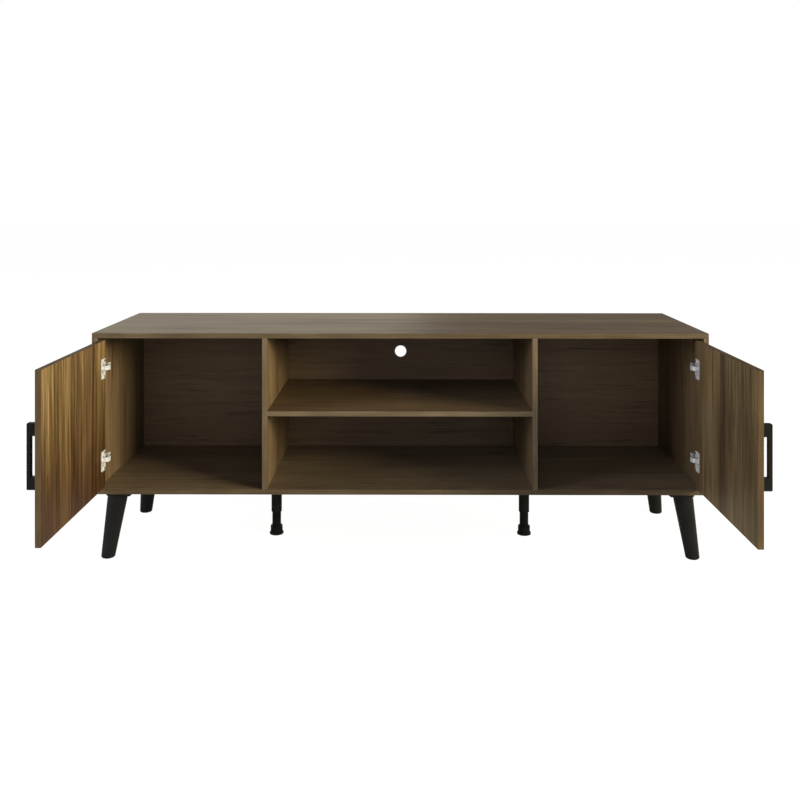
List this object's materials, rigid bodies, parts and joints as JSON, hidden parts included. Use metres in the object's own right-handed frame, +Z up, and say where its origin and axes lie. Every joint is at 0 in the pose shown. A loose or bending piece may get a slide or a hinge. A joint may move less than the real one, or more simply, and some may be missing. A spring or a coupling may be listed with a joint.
{
  "type": "tv stand with doors",
  "caption": "Low television stand on splayed black legs, with open middle bays, a cable hole and an inset hinged door with a black pull at each end.",
  "frame": {"origin": "on the floor, under the middle of the whole stand with both doors open at a right angle", "axes": "+X to the right seen from the front, +Y to the back, +Z up"},
  "size_m": [1.51, 0.7774, 0.552],
  "materials": {
    "laminate": "satin laminate, grain along the board",
    "laminate_upright": "satin laminate, upright grain",
    "door_laminate": "satin laminate, upright grain",
    "back_board": "satin printed fibreboard",
    "edge_band": "satin edge band",
    "screw_cover": "matt",
    "black_plastic": "fine-grained matt",
    "black_handle": "matt powder coat",
    "black_steel": "matt powder coat",
    "nickel": "nickel plated",
    "zinc": "zinc plated",
    "beech": "raw",
    "felt": "felt"
  },
  "bodies": {
    "carcass": {"top_panel": "laminate", "bottom_panel": "laminate", "left_side_panel": "laminate_upright", "right_side_panel": "laminate_upright", "left_divider": "laminate_upright", "right_divider": "laminate_upright", "middle_shelf": "laminate", "left_back_panel": "back_board", "centre_back_panel": "back_board", "right_back_panel": "back_board", "carcass_edge_bands": "edge_band", "cam_bolts": "zinc", "cam_locks": "zinc", "cam_covers": "screw_cover", "wooden_dowels": "beech", "bottom_screws": "zinc", "shelf_screws": "zinc", "back_panel_nails": "zinc", "underside_screws": "black_steel", "leg_pads": "felt", "left_front_leg": "black_plastic", "left_rear_leg": "black_plastic", "left_support_tube": "black_steel", "left_upper_hinge_arm": "nickel", "left_upper_hinge_plate": "nickel", "left_lower_hinge_arm": "nickel", "left_lower_hinge_plate": "nickel", "left_hinge_mount_screws": "zinc", "right_front_leg": "black_plastic", "right_rear_leg": "black_plastic", "right_support_tube": "black_steel", "right_upper_hinge_arm": "nickel", "right_upper_hinge_plate": "nickel", "right_lower_hinge_arm": "nickel", "right_lower_hinge_plate": "nickel", "right_hinge_mount_screws": "zinc"},
    "left_door": {"left_door": "door_laminate", "left_door_edge_band": "edge_band", "left_handle": "black_handle", "left_handle_screws": "zinc", "left_handle_screw_covers": "screw_cover", "left_hinge_pins": "zinc", "left_hinge_springs": "zinc", "left_hinge_cup_screws": "zinc", "left_upper_hinge_cup": "nickel", "left_lower_hinge_cup": "nickel"},
    "left_foot": {"left_support_stem": "black_plastic", "left_support_pad": "black_plastic"},
    "right_door": {"right_door": "door_laminate", "right_door_edge_band": "edge_band", "right_handle": "black_handle", "right_handle_screws": "zinc", "right_handle_screw_covers": "screw_cover", "right_hinge_pins": "zinc", "right_hinge_springs": "zinc", "right_hinge_cup_screws": "zinc", "right_upper_hinge_cup": "nickel", "right_lower_hinge_cup": "nickel"},
    "right_foot": {"right_support_stem": "black_plastic", "right_support_pad": "black_plastic"}
  },
  "joints": [
    {"name": "left_door_hinge", "type": "hinge", "parent": "carcass", "child": "left_door", "pos_m": [-0.7175, -0.00475, 0.3565], "axis": [0, 0, 1], "range_deg": [-5, 90]},
    {"name": "left_foot_screw", "type": "slide", "parent": "carcass", "child": "left_foot", "axis": [0, 0, 1], "range_m": [-0.02, 0.03]},
    {"name": "right_door_hinge", "type": "hinge", "parent": "carcass", "child": "right_door", "pos_m": [0.7175, -0.00475, 0.3565], "axis": [0, 0, -1], "range_deg": [-5, 90]},
    {"name": "right_foot_screw", "type": "slide", "parent": "carcass", "child": "right_foot", "axis": [0, 0, 1], "range_m": [-0.02, 0.03]}
  ]
}
